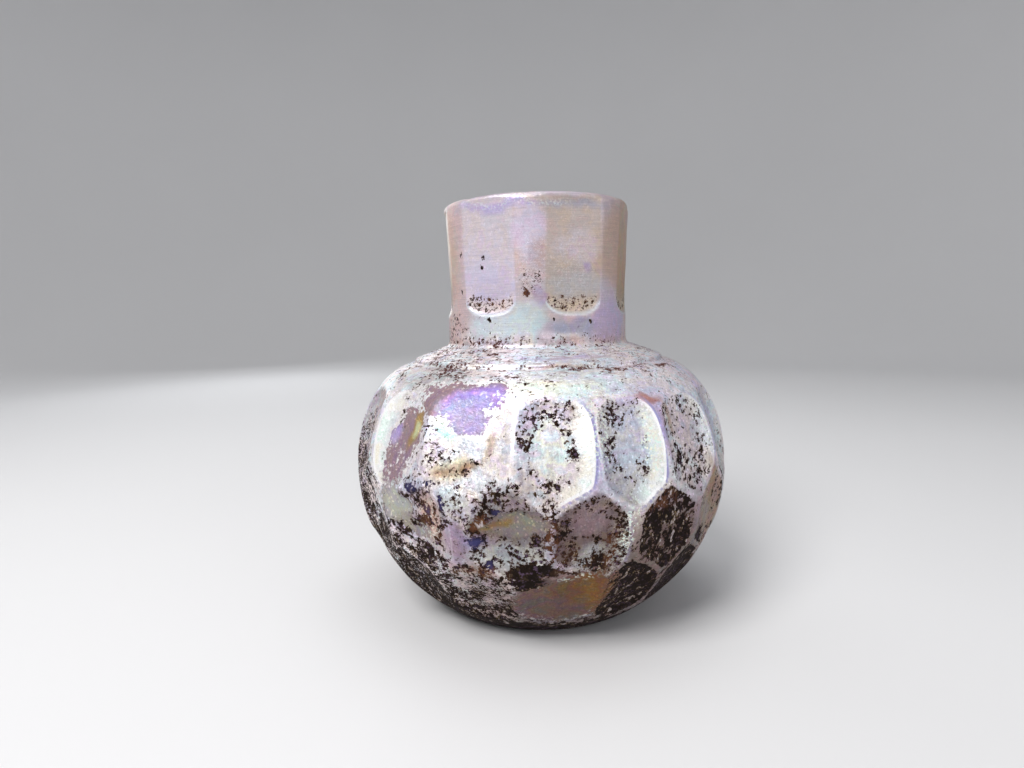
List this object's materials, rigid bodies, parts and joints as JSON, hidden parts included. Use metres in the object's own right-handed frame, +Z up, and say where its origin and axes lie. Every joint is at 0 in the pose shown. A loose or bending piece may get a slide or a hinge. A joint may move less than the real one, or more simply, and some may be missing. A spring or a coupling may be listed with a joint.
{
  "type": "wheel-cut glass bottle",
  "caption": "Small round glass bottle with a short wide neck, wheel-cut with staggered oval facets on the belly and long facets on the neck, hollow and open.",
  "frame": {"origin": "centre of the flat that the bottle stands on, on the bottle's axis", "axes": "+Z up along the axis towards the mouth, -Y towards the front shown in the picture, +X to its right"},
  "size_m": [0.0716, 0.0716, 0.0753],
  "materials": {
    "weathered_glass": "milky iridescent weathering crust with brown pits over amber glass"
  },
  "bodies": {
    "root": {"bottle": "weathered_glass"}
  },
  "joints": []
}
